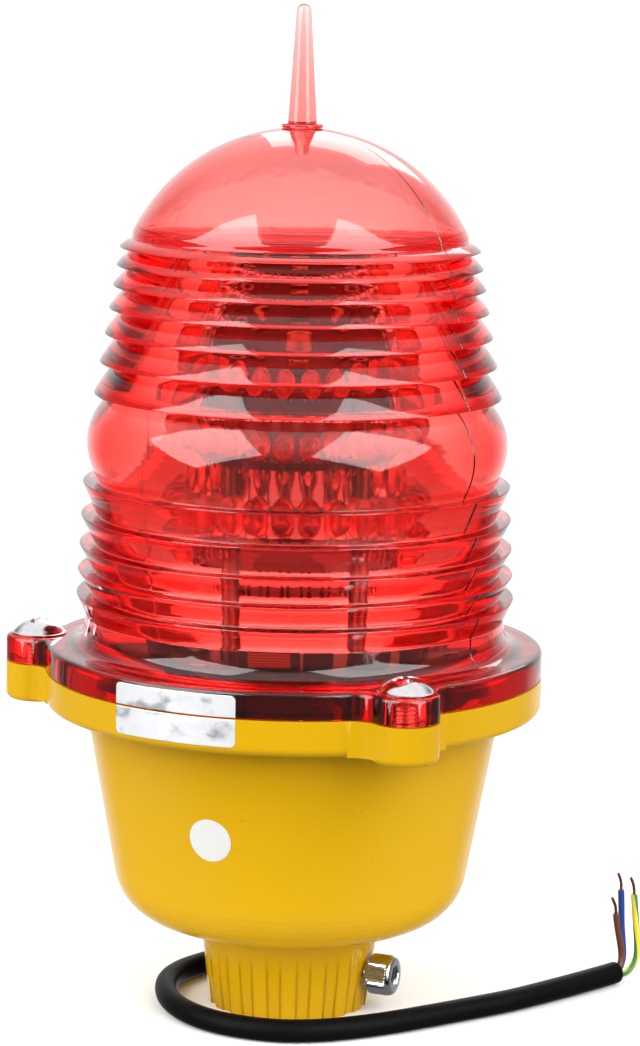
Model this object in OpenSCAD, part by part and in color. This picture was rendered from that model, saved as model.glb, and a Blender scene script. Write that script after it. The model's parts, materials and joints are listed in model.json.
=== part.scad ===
// Aviation obstruction beacon: a red drum lens on a cast cup with a pipe socket below.
// Lengths are millimetres, +Z is up, and the origin is the centre of the socket's foot.
// The photographed front looks towards -Y.

/* [Pipe socket] */
// Height of the socket from its foot to the cup's floor
socket_h = 27; // [24:0.5:40]
// Outer radius of the socket under the cup
socket_top_r = 28.8; // [27:0.1:33]
// Outer radius of the socket at its foot
socket_foot_r = 25.8; // [23:0.1:28]
// Radius of the bore that slips over the mast pipe
pipe_bore_r = 17; // [12:0.05:18.5]
// Depth of that bore
pipe_bore_depth = 24; // [16:0.5:26]
// Number of flutes around the socket
flute_count = 18; // [12:1:22]
// Radius of one flute's round bottom
flute_r = 4; // [3:0.1:5]
// Depth of a flute at the foot
flute_depth = 0.9; // [0.4:0.05:1.2]
// Smooth collar left above the flutes
collar_h = 6; // [3:0.5:12]

/* [Lock screw] */
// Thread radius of the lock screw
lock_r = 4; // [3:0.5:4]
// Radius of its cap head
lock_head_r = 6.5; // [5.5:0.1:7]
// Height of its cap head
lock_head_h = 8; // [6:0.5:9]
// Width across the flats of its key socket
lock_key_w = 6; // [4:0.5:7]
// Length of its shank
lock_len = 11.6; // [11:0.1:16]
// Height of its axis above the foot
lock_z = 12; // [9:0.5:14]
// Direction of its axis, from +X towards +Y
lock_turn = -22; // [-60:1:0]
// Distance of its tip from the bore while no pipe is fitted
lock_tip_gap = 0.3; // [0.2:0.1:1]

/* [Cup] */
// Height of the cup from its floor to the flange
cup_h = 71.4; // [60:0.2:95]
// Outer radius of the cup under the flange
cup_top_r = 66.7; // [65:0.1:69]
// Draft of the cup's wall
cup_draft = 10.2; // [5:0.1:12]
// Rise of the floor towards the wall
floor_rise = 8; // [2:0.5:10]
// Outer radius of the corner between floor and wall
cup_corner_r = 18; // [12:0.5:22]
// Wall and floor thickness
cup_wall = 3.5; // [2.5:0.1:4.5]
// Fillet between the wall and the flange
cup_neck_fillet = 3; // [1:0.5:5]

/* [Flanges] */
// Radius of both flanges
flange_r = 79.5; // [78:0.1:82]
// Thickness of the cup's flange
base_flange_t = 11.2; // [8:0.1:14]
// Rounding of the cup flange's lower edge
base_edge_r = 2.5; // [1:0.1:3.5]
// Thickness of the lens flange at its edge
lens_flange_t = 8.5; // [6:0.1:12]
// Rounding of the lens flange's upper edge
lens_edge_r = 1.5; // [0.5:0.1:2.5]
// Gap left between the two flanges
joint_gap = 0.3; // [0.2:0.05:0.5]
// Radius of a screw ear
ear_r = 10.5; // [9.8:0.1:12]
// Radius of the circle through the three screws
ear_circle_r = 83; // [81.5:0.1:85]
// Fillet between an ear and the flange
ear_fillet_r = 8; // [4:0.5:12]
// How far the cup's ears hang below its flange
ear_drop = 1.2; // [0.5:0.1:5]
// Rounding of the cup ears' lower edges
ear_edge_r = 2.2; // [1:0.1:3.5]
// Direction of the first ear, from +X towards +Y
ear_turn = -66; // [-90:1:-40]
// Inner radius of the gasket
gasket_in_r = 68.5; // [68:0.1:70]
// Width of the gasket
gasket_w = 3.4; // [2:0.1:4]
// Thickness of the gasket
gasket_t = 2.4; // [1.5:0.1:4]
// How far the gasket stands out of its groove
gasket_proud = 0.2; // [0.1:0.05:0.25]

/* [Cover screws] */
// Thread radius of the cover screws
screw_r = 4; // [3:0.5:4]
// Radius of their domed heads
screw_head_r = 8.9; // [7.5:0.1:9.5]
// Height of their domed heads
screw_head_h = 4.8; // [3.5:0.1:6]
// Room in the lens around a cover screw's head
head_room = 0.5; // [0.2:0.1:0.8]
// Length of their shanks
screw_len = 16; // [13:0.5:17]
// Clearance around a screw in the lens
screw_hole_gap = 0.5; // [0.3:0.05:0.8]
// Clearance around a thread in its tapped hole
thread_gap = 0.05; // [0.02:0.01:0.08]
// Depth of the cross recess
recess_h = 2.6; // [1.5:0.1:3]
// Width of one slot of the cross recess
recess_w = 1.7; // [1:0.1:2.2]
// Length of one slot of the cross recess
recess_l = 8.4; // [6:0.1:10]

/* [Lens] */
// Wall thickness behind the prisms
lens_wall = 3.2; // [2.5:0.1:3.4]
// Outer radius of the plain skirt
skirt_r = 67.1; // [66.9:0.05:67.8]
// Height of the skirt from the flange's edge to the lowest prism
skirt_h = 9.8; // [8:0.1:20]
// Fillet between the flange and the skirt
skirt_fillet_r = 6; // [3:0.5:8]
// Number of prisms under the bullseye band
lower_prisms = 5; // [3:1:6]
// Height of the lower prism next to the bullseye band
lower_prism_h = 10.5; // [8:0.1:12]
// Tip radius of the lower prism next to the bullseye band
lower_tip_r = 68.28; // [67.6:0.02:68.8]
// Tip radius of the lowest prism
foot_tip_r = 70.1; // [69.4:0.1:71]
// Height of the bullseye band
bullseye_h = 27.7; // [24:0.1:30]
// How far the bullseye band bulges from its chord
bullseye_bulge = 5.4; // [3:0.1:6]
// How far the bullseye band is hollowed on its inside
bullseye_hollow = 3; // [1:0.1:4]
// Number of prisms above the bullseye band
upper_prisms = 7; // [4:1:8]
// Height from the first upper prism's tip to the next tip
upper_prism_h = 10.05; // [8:0.05:11]
// Tip radius of the upper prism next to the bullseye band
upper_tip_r = 65.05; // [64:0.05:66]
// Tip radius of the topmost prism
crown_tip_r = 57.4; // [56.6:0.1:59]
// Height of the topmost prism's sloping face
crown_prism_h = 2.8; // [2:0.1:5]
// Each prism's height as a share of the one nearer the bullseye
prism_shrink = 0.893; // [0.85:0.001:0.93]
// Depth of the ledge at each prism's tip
prism_depth = 5.2; // [3:0.1:5.5]
// How far an upper prism's face bulges from its chord
prism_bulge = 0.35; // [0.1:0.05:0.7]
// How far a lower prism's face bulges from its chord
lower_bulge = 0.1; // [0.05:0.05:0.5]
// Height of the plain band under the dome
band_h = 2; // [1:0.1:6]
// Outer radius of the dome at its foot
dome_foot_r = 53.1; // [52.6:0.1:54]
// Sphere radius of the dome
dome_r = 59; // [57:0.5:75]

/* [Bird spike] */
// Height of the spike above the dome
spike_h = 38.4; // [25:0.1:60]
// Radius of the spike at the dome
spike_foot_r = 4.6; // [3.5:0.1:5]
// Radius of the spike's rounded tip
spike_tip_r = 2.4; // [1:0.1:3]
// Radius of the collar that seats on the dome
spike_collar_r = 6.6; // [5.5:0.1:8]
// Thickness of that collar
spike_collar_h = 1; // [0.6:0.1:2]
// Length of the tapered root inside the dome
spike_root_h = 8.5; // [5:0.5:12]
// Radius of the root's end
spike_root_r = 2; // [1:0.1:3]
// Clearance around the root and under the collar
spike_gap = 0.05; // [0.02:0.01:0.1]

/* [Driver board] */
// Radius of the driver board
board_r = 58; // [56:0.5:59]
// Thickness of the driver board
board_t = 1.6; // [1:0.1:2.4]
// Height of the board above the flange joint
board_lift = 3; // [1:0.1:6]
// Radius of the cast posts under the board
board_post_r = 4; // [3.5:0.1:5]
// Radius of the circle through those posts
board_post_circle_r = 51; // [48:0.5:52]
// Direction of the first post, from +X towards +Y
board_post_turn = -5; // [-40:1:20]
// Thread radius of the board screws
board_screw_r = 1.5; // [1:0.1:2]
// Length of the board screws
board_screw_len = 8; // [6:0.5:12]
// Head radius of the board screws
board_screw_head_r = 2.9; // [2.4:0.1:3.4]
// Head height of the board screws
board_screw_head_h = 1.8; // [1:0.1:2.4]
// Width of the transformer along X
coil_x = 19; // [14:0.5:24]
// Width of the transformer along Y
coil_y = 15; // [12:0.5:20]
// Height of the transformer
coil_z = 15; // [10:0.5:20]
// Thickness of the ferrite around the transformer's winding
ferrite_t = 3; // [2:0.5:5]

/* [Light tower] */
// Radius of the posts and spacers of the tower
post_r = 2.65; // [2:0.05:3.2]
// Distance of each post from the YZ plane
post_x = 20.4; // [18:0.1:22]
// Distance of each post from the XZ plane
post_y = 13; // [9:0.5:14]
// Height of the posts under the lowest ring board
post_h = 49.5; // [30:0.1:60]
// Distance from one ring board to the next
tier_pitch = 15; // [13:0.1:17]
// Radius of a ring board
ring_board_r = 33; // [32:0.5:34]
// Thickness of a ring board
ring_board_t = 1.6; // [1:0.1:2]
// Diodes on one ring board
led_count = 28; // [20:1:30]
// Radius of a diode's body
led_r = 3; // [2:0.1:3.2]
// Radius of a diode's rim
led_rim_r = 3.4; // [2.4:0.1:3.6]
// Thickness of a diode's rim
led_rim_t = 1.1; // [0.6:0.1:2]
// Length of a diode from the back of its rim to its tip
led_len = 8.7; // [7:0.1:10]
// Radius of the circle on which the rims' backs stand
led_seat_r = 34.2; // [34.1:0.1:38]
// Height of a diode's axis above its board
led_lift = 4.2; // [3.6:0.1:6]
// Side of a diode's square leg
leg_w = 0.6; // [0.4:0.05:0.8]
// Distance between a diode's two legs
leg_pitch = 2.54; // [2:0.01:3]
// How far behind the rim a diode's legs turn down
leg_bend = 3.2; // [2.4:0.1:4]
// Radius of the circle on which the legs enter the board
leg_circle_r = 31; // [29:0.1:31.5]
// How far the legs stand out under the board
leg_tail = 1.5; // [0.8:0.1:2.5]
// Width across the flats of the nuts on the tower
nut_w = 5.5; // [5:0.1:6.4]
// Height of those nuts
nut_h = 2.4; // [1.6:0.1:4]
// Radius of the circle of resistors on the top board
resistor_circle_r = 16.5; // [14:0.5:18]
// Length of a resistor
resistor_len = 6.6; // [5:0.1:8]
// Radius of a resistor at its waist
resistor_r = 1.1; // [0.8:0.1:1.3]
// Radius of a resistor at its ends
resistor_end_r = 1.3; // [1:0.1:1.5]
// Outer radius of the lead grommet in the top board
grommet_r = 4.4; // [3.5:0.1:6]
// Radius of the grommet's hole
grommet_hole_r = 2.2; // [1.5:0.1:3]

/* [Supply cable] */
// Radius of the cable's sheath
cable_r = 3.6; // [3:0.1:4]
// Radius of one insulated core
core_r = 1.1; // [0.8:0.05:1.2]
// Radius of a core's bare copper end
strand_r = 0.6; // [0.4:0.05:0.8]
// Radius of the boot's stem in the cup's floor
boot_stem_r = 6; // [5:0.1:7]
// Radius of the boot's two lips
boot_lip_r = 8.6; // [7.5:0.1:9.5]
// Thickness of each lip
boot_lip_t = 2; // [1.5:0.1:3]
// Radius of the boot's tail at the elbow
boot_tail_r = 5.5; // [5:0.1:6]
// Radius of the boot's tail at its end
boot_end_r = 4.5; // [4.2:0.1:5]
// Clearance between the boot and the floor
boot_gap = 0.1; // [0.05:0.05:0.2]

/* [Hidden] */
$fn = 64;

// Levels, from the foot upwards
flange_z = socket_h + cup_h;
joint_z = flange_z + base_flange_t;
lens_z = joint_z + joint_gap;
lens_edge_z = lens_z + lens_flange_t;
skirt_top_z = lens_edge_z + skirt_h;
lower_hs = [for (i = [lower_prisms - 1:-1:0]) lower_prism_h * pow(prism_shrink, i)];
upper_hs = [for (i = [0:upper_prisms - 2]) upper_prism_h * pow(prism_shrink, i)];
bullseye_z = skirt_top_z + total(lower_hs, lower_prisms);
upper_z = bullseye_z + bullseye_h;
crown_z = upper_z + total(upper_hs, upper_prisms - 1);
band_z = crown_z + crown_prism_h;
dome_z = band_z + band_h;
dome_centre_z = dome_z - sqrt(dome_r * dome_r - dome_foot_r * dome_foot_r);
dome_top_z = dome_centre_z + dome_r;
board_z = joint_z + board_lift;
board_top_z = board_z + board_t;
function tier_z(i) = board_top_z + post_h + i * tier_pitch;
function tier_top_z(i) = tier_z(i) + ring_board_t;
ear_turns = [for (i = [0:2]) ear_turn - 120 * i];
board_post_turns = [for (i = [0:2]) board_post_turn + 120 * i];
post_spots = [for (x = [-post_x, post_x], y = [-post_y, post_y]) [x, y]];

// Sum of the first n numbers of a list
function total(list, n) = n == 0 ? 0 : list[n - 1] + total(list, n - 1);

// Points of an arc from angle a to angle b
function arc(centre, r, a, b, n = 8) = [for (i = [0:n]) centre + r * [cos(a + (b - a) * i / n), sin(a + (b - a) * i / n)]];

// Points after p up to q on a curve that bulges to the right of the way from p to q
function bulged(p, q, bulge, n = 5) =
    let (d = q - p, side = [d.y, -d.x] / norm(d))
    [for (i = [1:n]) let (t = i / n) p + t * d + 4 * bulge * t * (1 - t) * side];

// Outer wall of the cup, worked out from its two straight lines and the corner between them
draft_t = tan(cup_draft);
rise_t = tan(floor_rise);
corner_r_at = (cup_top_r - (cup_h + socket_top_r * rise_t) * draft_t) / (1 - rise_t * draft_t);
corner_at = [corner_r_at, socket_h + (corner_r_at - socket_top_r) * rise_t];
corner_run = cup_corner_r * tan((90 - cup_draft - floor_rise) / 2);
corner_centre = corner_at - corner_run * [cos(floor_rise), sin(floor_rise)]
    + cup_corner_r * [-sin(floor_rise), cos(floor_rise)];
function cup_in_r(z) = cup_top_r - (flange_z - z) * draft_t - cup_wall / cos(cup_draft);

// The floor runs on a little inside the socket, so the two meet in a clean edge
floor_in_z = socket_h - (socket_top_r - socket_foot_r) * rise_t;
cup_profile = concat(
    [[0, floor_in_z], [socket_foot_r, floor_in_z]],
    arc(corner_centre, cup_corner_r, floor_rise - 90, -cup_draft, 10),
    arc([cup_top_r - cup_neck_fillet * draft_t + cup_neck_fillet, flange_z - cup_neck_fillet],
        cup_neck_fillet, 180, 90, 4),
    arc([flange_r - base_edge_r, flange_z + base_edge_r], base_edge_r, -90, 0, 5),
    [[flange_r, joint_z], [cup_in_r(joint_z), joint_z]],
    arc(corner_centre, cup_corner_r - cup_wall, -cup_draft, floor_rise - 90, 10),
    [[socket_top_r, socket_h + cup_wall / cos(floor_rise)], [0, socket_h + cup_wall / cos(floor_rise)]]
);

// Middle of the cup's wall and floor, where the posts and bosses inside end
cup_core = concat(
    arc(corner_centre, cup_corner_r - cup_wall / 2, floor_rise - 90, -cup_draft, 10),
    [[cup_in_r(board_z) + cup_wall / 2, board_z], [0, board_z],
     [0, corner_centre.y - (cup_corner_r - cup_wall / 2) * cos(floor_rise)]]
);

// Tips of the prisms, from the bottom to the top, as [radius, height]
lower_tips = [for (i = [0:lower_prisms - 1])
    let (z = skirt_top_z + total(lower_hs, i + 1), low_z = skirt_top_z + lower_hs[0])
    [foot_tip_r + (lower_tip_r - foot_tip_r) * (z - low_z) / (bullseye_z - low_z), z]];
upper_tips = [for (i = [0:upper_prisms - 1])
    let (z = upper_z + total(upper_hs, i))
    [upper_tip_r + (crown_tip_r - upper_tip_r) * (z - upper_z) / (crown_z - upper_z), z]];
ledge = [prism_depth, 0];
inset = ledge + [lens_wall, 0];

// Outside of the lens: flange, skirt, lower prisms, bullseye band, upper prisms, band and dome
lens_outside = concat(
    [[flange_r, lens_z]],
    arc([flange_r - lens_edge_r, lens_edge_z - lens_edge_r], lens_edge_r, 0, 90, 5),
    arc([skirt_r + skirt_fillet_r, lens_edge_z + skirt_fillet_r], skirt_fillet_r, -90, -180, 6),
    [[skirt_r, skirt_top_z]],
    [for (i = [0:lower_prisms - 1])
        let (from = i == 0 ? [skirt_r, skirt_top_z] : lower_tips[i - 1] - ledge)
        each concat(bulged(from, lower_tips[i], lower_bulge), [lower_tips[i] - ledge])],
    bulged(lower_tips[lower_prisms - 1] - ledge, upper_tips[0] - ledge, bullseye_bulge, 14),
    [for (i = [0:upper_prisms - 1])
        let (to = i == upper_prisms - 1 ? [dome_foot_r, band_z] : upper_tips[i + 1] - ledge)
        each concat([upper_tips[i]], bulged(upper_tips[i], to, prism_bulge))],
    arc([0, dome_centre_z], dome_r, asin((dome_z - dome_centre_z) / dome_r), 90, 16)
);
lens_inside = concat(
    arc([0, dome_centre_z], dome_r - lens_wall, 90, acos((dome_foot_r - lens_wall) / (dome_r - lens_wall)), 16),
    [upper_tips[upper_prisms - 1] - inset, upper_tips[0] - inset],
    bulged(upper_tips[0] - inset, lower_tips[lower_prisms - 1] - inset, -bullseye_hollow, 10),
    [lower_tips[0] - inset, [skirt_r - lens_wall, skirt_top_z], [skirt_r - lens_wall, lens_z]]
);

// Web between a screw ear and the flange, with a fillet on each side, in the ear's own direction
// Small steps and overlaps keep their faces distinct, so that the solids stay clean
ear_sink = 0.06;
ear_step = 0.1;
ear_top_z = lens_edge_z + ear_step;
ear_reach = flange_r + ear_fillet_r - ear_sink;
ear_span = ear_r + ear_fillet_r - ear_sink;
ear_a = acos((ear_reach * ear_reach + ear_circle_r * ear_circle_r - ear_span * ear_span) / (2 * ear_reach * ear_circle_r));
web_foot_r = flange_r - base_edge_r - 1;
module ear_web() {
    difference() {
        polygon([web_foot_r * [cos(ear_a), -sin(ear_a)], ear_reach * [cos(ear_a), -sin(ear_a)], [ear_circle_r + 1, 0],
            ear_reach * [cos(ear_a), sin(ear_a)], web_foot_r * [cos(ear_a), sin(ear_a)]]);
        for (s = [-1, 1]) translate(ear_reach * [cos(ear_a), s * sin(ear_a)]) circle(r = ear_fillet_r);
    }
}

// Tube swept along a list of points, with flat ends
function along(p, i) =
    let (d = p[min(i + 1, len(p) - 1)] - p[max(i - 1, 0)]) d / norm(d);
module tube(p, r, sides, up = [0, 0, 1]) {
    rings = [for (i = [0:len(p) - 1])
        let (t = along(p, i), across = cross(t, up), a = across / norm(across), b = cross(a, t))
        each [for (k = [0:sides - 1]) p[i] + r * (cos(360 * k / sides) * a + sin(360 * k / sides) * b)]];
    last = (len(p) - 1) * sides;
    polyhedron(rings, concat(
        [for (k = [1:sides - 2]) [0, k, k + 1]],
        [for (k = [1:sides - 2]) [last, last + k + 1, last + k]],
        [for (i = [0:len(p) - 2], k = [0:sides - 1])
            let (a = i * sides + k, b = i * sides + (k + 1) % sides)
            each [[a, a + sides, b], [b, a + sides, b + sides]]]
    ));
}

// Smooth curve through hand-placed points, n steps between each two
function smooth(p, n) = concat([for (i = [0:len(p) - 2], k = [0:n - 1])
    let (a = p[max(i - 1, 0)], b = p[i], c = p[i + 1], d = p[min(i + 2, len(p) - 1)], t = k / n)
    b + 0.5 * t * (c - a + t * (2 * a - 5 * b + 4 * c - d + t * (3 * b - a - 3 * c + d)))], [p[len(p) - 1]]);

// The boot leaves the floor behind the socket, turns at its elbow and points to the left
boot_at = [16, 33];
boot_face_z = socket_h - 1;
boot_elbow = [boot_at.x, boot_at.y, 15];
boot_pitch = 15;
boot_tail_l = 26;
boot_floor_z = socket_h + 10;
boot_end = boot_elbow - boot_tail_l * [cos(boot_pitch), 0, sin(boot_pitch)];
boot_boss_r = boot_lip_r + 1.5;

// Route of the cable's axis from the boot, round the socket and out to the right
cable_route = [
    boot_end, [-18.6, 31.4, 4.9], [-28, 25.8, 3.9], [-35, 17.5, 3.7], [-39, 7.5, 3.7], [-39.8, -3.5, 3.7],
    [-38, -15.5, 3.7], [-33.4, -26.5, 3.7], [-26, -36, 3.7], [-16, -43, 3.7], [-4, -47, 3.7], [8, -46.6, 3.7],
    [20, -42.8, 3.7], [32, -37, 3.7], [45, -29, 3.7], [58, -20.5, 3.7], [72, -10.8, 3.7], [86, 1.2, 3.7],
    [99.5, 13.6, 3.7], [108.4, 22.4, 3.7]
];
cable_end = cable_route[len(cable_route) - 1];
cable_way = [0.711, 0.703, 0];
cable_side = [-0.703, 0.711, 0];
brown_route = [for (p = [[0, 0, 1.3], [2, 0, 1.6], [3.4, 0.2, 3.6], [3.4, 0.4, 7], [2.4, 0.4, 11], [1, 0.4, 16], [0.2, 0.4, 20]])
    core_point(p)];
blue_route = [for (p = [[0, 1.2, -0.7], [2, 1.2, -0.6], [4.6, 1.5, 0.8], [6.2, 1.8, 4.4], [6, 2, 9], [5.4, 2.2, 15],
    [5, 2.2, 22], [4.6, 2.2, 27]]) core_point(p)];
earth_route = [for (p = [[0, -1.2, -0.7], [2.4, -1.3, -0.8], [5.6, -1.6, 0], [8, -2, 3], [8.6, -2.2, 7], [8, -2.2, 13],
    [7.2, -2, 20], [6.6, -1.8, 26]]) core_point(p)];
function core_point(p) = cable_end + p.x * cable_way + p.y * cable_side + [0, 0, p.z];

// Leads inside the cup, from the boot to the board and to the earth screw
lead_foot_z = boot_floor_z + boot_lip_t;
earth_at = [40, 8];
earth_boss_r = 5;
earth_boss_z = socket_h + 14;
tag_t = 0.8;
tag_l = 7;
tag_w = 3;
brown_lead = [[13, 33, lead_foot_z], [13, 33.4, lead_foot_z + 12], [14, 34, 65], [15, 34, 88], [15, 34, board_z]];
blue_lead = [[16.4, 35.4, lead_foot_z], [17.2, 35.4, lead_foot_z + 12], [20, 35, 65], [23, 34.2, 88], [24, 34, board_z]];
earth_lead = [[18.4, 31.4, lead_foot_z], [19, 31, lead_foot_z + 5], [23, 27, lead_foot_z + 9],
    [31, 19, earth_boss_z + 5], [37, 12.6, earth_boss_z + 2.6]];
tower_lead_spots = [[18.6, 18.5], [22.2, 18.5]];
tower_lead_bow = 5;
tower_lead_rise = 6;
// Length of a resistor's bulged ends
resistor_end_w = 1.6;

// Parts on the driver board, as [x, y] of their centres
coil_at = [-7.5, -39];
film_boxes = [[7.5, -41, 9, 8, 13], [23, -36, 13, 9, 12], [-34, 22, 12, 8, 11]];
cans = [[-42, -19, 4, 14], [36, -27, 3.5, 12], [41, 16, 3.2, 11], [8, 44, 5, 16]];
transistor_at = [-44, 4];

module at_ears() {
    for (a = ear_turns) rotate(a) translate([ear_circle_r, 0, 0]) children();
}

// Cast cup with its flange, ears and fluted pipe socket
module base_housing() color("gold") difference() {
    union() {
        rotate_extrude() polygon(cup_profile);
        cylinder(h = socket_h + cup_wall / 2, r1 = socket_foot_r,
            r2 = socket_foot_r + (socket_top_r - socket_foot_r) * (socket_h + cup_wall / 2) / socket_h);
        for (a = ear_turns) rotate(a) {
            translate([0, 0, flange_z + ear_step / 2]) linear_extrude(base_flange_t - ear_step) ear_web();
            translate([ear_circle_r, 0, flange_z - ear_drop]) rotate_extrude() polygon(concat(
                [[0, 0]], arc([ear_r - ear_edge_r, ear_edge_r], ear_edge_r, -90, 0, 5),
                [[ear_r, ear_drop + base_flange_t - ear_step], [0, ear_drop + base_flange_t - ear_step]]));
        }
        translate([boot_at.x, boot_at.y, boot_face_z]) cylinder(h = boot_floor_z - boot_face_z, r = boot_boss_r);
        intersection() {
            rotate_extrude() polygon(cup_core);
            union() {
                for (a = board_post_turns) rotate(a) translate([board_post_circle_r, 0, socket_h])
                    cylinder(h = cup_h + 50, r = board_post_r);
                translate([earth_at.x, earth_at.y, socket_h]) cylinder(h = earth_boss_z - socket_h, r = earth_boss_r);
            }
        }
    }
    translate([0, 0, -1]) cylinder(h = pipe_bore_depth + 1, r = pipe_bore_r);
    flutes();
    rotate(lock_turn) translate([0, 0, lock_z]) rotate([0, 90, 0]) cylinder(h = socket_top_r + 5, r = lock_r + thread_gap);
    translate([0, 0, ear_top_z - screw_len - 2]) at_ears() cylinder(h = screw_len, r = screw_r + thread_gap);
    translate([0, 0, joint_z + gasket_proud - gasket_t]) difference() {
        cylinder(h = gasket_t, r = gasket_in_r + gasket_w);
        translate([0, 0, -1]) cylinder(h = gasket_t + 2, r = gasket_in_r);
    }
    for (a = board_post_turns) rotate(a) translate([board_post_circle_r, 0, board_top_z - board_screw_len - 1])
        cylinder(h = board_screw_len, r = board_screw_r + thread_gap);
    translate([boot_at.x, boot_at.y, boot_face_z - 1]) cylinder(h = 20, r = boot_stem_r + boot_gap);
    translate([earth_at.x, earth_at.y, earth_boss_z - board_screw_len]) cylinder(h = 20, r = board_screw_r + thread_gap);
}

// Round grooves that lean outwards and so run out under the smooth collar
module flutes() {
    top_z = socket_h - collar_h;
    low_r = socket_foot_r - flute_depth;
    top_r = socket_foot_r + (socket_top_r - socket_foot_r) * top_z / socket_h;
    lean = atan((top_r - low_r) / top_z);
    for (i = [0:flute_count - 1]) rotate((i + 0.5) * 360 / flute_count - 90)
        translate([low_r + flute_r / cos(lean), 0, 0]) rotate([0, lean, 0])
            translate([0, 0, -2]) cylinder(h = top_z + 3, r = flute_r);
}

// Silicone ring in the groove of the cup's flange
module lens_gasket() color("dimgray") translate([0, 0, joint_z + gasket_proud - gasket_t]) difference() {
    cylinder(h = gasket_t, r = gasket_in_r + gasket_w);
    translate([0, 0, -1]) cylinder(h = gasket_t + 2, r = gasket_in_r);
}

// Moulded lens: one shell with prisms, bullseye band, dome, flange and ears
module lens() color("red", 0.6) difference() {
    union() {
        difference() {
            rotate_extrude() polygon(concat(lens_outside, lens_inside));
            translate([0, 0, ear_top_z]) at_ears()
                cylinder(h = screw_head_h + head_room, r = screw_head_r + head_room);
        }
        for (a = ear_turns) rotate(a) translate([0, 0, lens_z]) {
            translate([0, 0, ear_step / 2]) linear_extrude(lens_flange_t - ear_step) ear_web();
            translate([ear_circle_r, 0, ear_step]) cylinder(h = lens_flange_t, r = ear_r);
        }
    }
    translate([0, 0, lens_z - 1]) at_ears() cylinder(h = lens_flange_t + 20, r = screw_r + screw_hole_gap);
    spike_root(spike_gap);
}

// Tapered plug that holds the spike in the dome
module spike_root(gap) {
    translate([0, 0, dome_top_z - spike_root_h])
        cylinder(h = spike_root_h + 1, r1 = spike_root_r + gap, r2 = spike_foot_r - 0.3 + gap);
}

// Spike that keeps birds off, with its collar and root
module bird_spike() color("tomato") {
    spike_root(0);
    difference() {
        translate([0, 0, dome_top_z - 1]) cylinder(h = spike_collar_h + 1, r = spike_collar_r);
        translate([0, 0, dome_centre_z]) sphere(r = dome_r + spike_gap);
    }
    rotate_extrude() polygon(concat(
        [[0, dome_top_z + spike_collar_h / 2], [spike_foot_r, dome_top_z + spike_collar_h / 2]],
        arc([0, dome_top_z + spike_h - spike_tip_r], spike_tip_r, 3, 90, 8)
    ));
}

// Domed cross-head screw, head up, seated at the ear's top
module cover_screw(i) color("silver") rotate(ear_turns[i]) translate([ear_circle_r, 0, ear_top_z]) difference() {
    union() {
        translate([0, 0, -screw_len]) cylinder(h = screw_len + 0.5, r = screw_r);
        intersection() {
            cap_r = (screw_head_r * screw_head_r + screw_head_h * screw_head_h) / (2 * screw_head_h);
            cylinder(h = screw_head_h, r = screw_head_r);
            translate([0, 0, screw_head_h - cap_r]) sphere(r = cap_r);
        }
    }
    for (a = [0, 90]) rotate(a) translate([-recess_l / 2, -recess_w / 2, screw_head_h - recess_h])
        cube([recess_l, recess_w, recess_h + 1]);
}
module cover_screw_1() cover_screw(0);
module cover_screw_2() cover_screw(1);
module cover_screw_3() cover_screw(2);

// Cap screw that clamps the mast pipe, with its key socket
module lock_screw() color("silver") rotate(lock_turn) translate([pipe_bore_r + lock_tip_gap, 0, lock_z]) rotate([0, 90, 0])
    difference() {
        union() {
            cylinder(h = lock_len + 1, r = lock_r);
            translate([0, 0, lock_len]) cylinder(h = lock_head_h - 0.8, r = lock_head_r);
            translate([0, 0, lock_len + lock_head_h - 0.8]) cylinder(h = 0.8, r1 = lock_head_r, r2 = lock_head_r - 0.8);
        }
        translate([0, 0, lock_len + lock_head_h / 2]) cylinder(h = lock_head_h, r = lock_key_w / sqrt(3), $fn = 6);
    }

// Round driver board on the three cast posts
module driver_board() color("darkgreen") difference() {
    translate([0, 0, board_z]) cylinder(h = board_t, r = board_r);
    for (a = board_post_turns) rotate(a) translate([board_post_circle_r, 0, board_z - 1])
        cylinder(h = board_t + 2, r = board_screw_r + thread_gap);
}

module board_screws() color("silver") for (a = board_post_turns) rotate(a)
    translate([board_post_circle_r, 0, board_top_z]) {
        translate([0, 0, -board_screw_len]) cylinder(h = board_screw_len + 0.5, r = board_screw_r);
        cylinder(h = board_screw_head_h, r = board_screw_head_r);
    }

// Ferrite frame of the transformer, open where the winding fills it
module transformer_core() color("dimgray") translate([coil_at.x, coil_at.y, board_top_z]) difference() {
    translate([-coil_x / 2, -coil_y / 4, 0]) cube([coil_x, coil_y / 2, coil_z]);
    translate([-coil_x / 2 + ferrite_t, -coil_y, ferrite_t])
        cube([coil_x - 2 * ferrite_t, 2 * coil_y, coil_z - 2 * ferrite_t]);
}

module transformer_winding() color("sienna") translate([coil_at.x, coil_at.y, board_top_z + ferrite_t])
    translate([ferrite_t - coil_x / 2, -coil_y / 2, 0]) cube([coil_x - 2 * ferrite_t, coil_y, coil_z - 2 * ferrite_t]);

module film_capacitors() color("black") for (b = film_boxes)
    translate([b[0] - b[2] / 2, b[1] - b[3] / 2, board_top_z]) cube([b[2], b[3], b[4]]);

module electrolytics() color("saddlebrown") for (c = cans) translate([c[0], c[1], board_top_z]) {
    cylinder(h = 1.2, r = c[2]);
    translate([0, 0, 1.2]) cylinder(h = 1, r = c[2] - 0.3);
    translate([0, 0, 2.2]) cylinder(h = c[3] - 2.2, r = c[2]);
}

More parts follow.
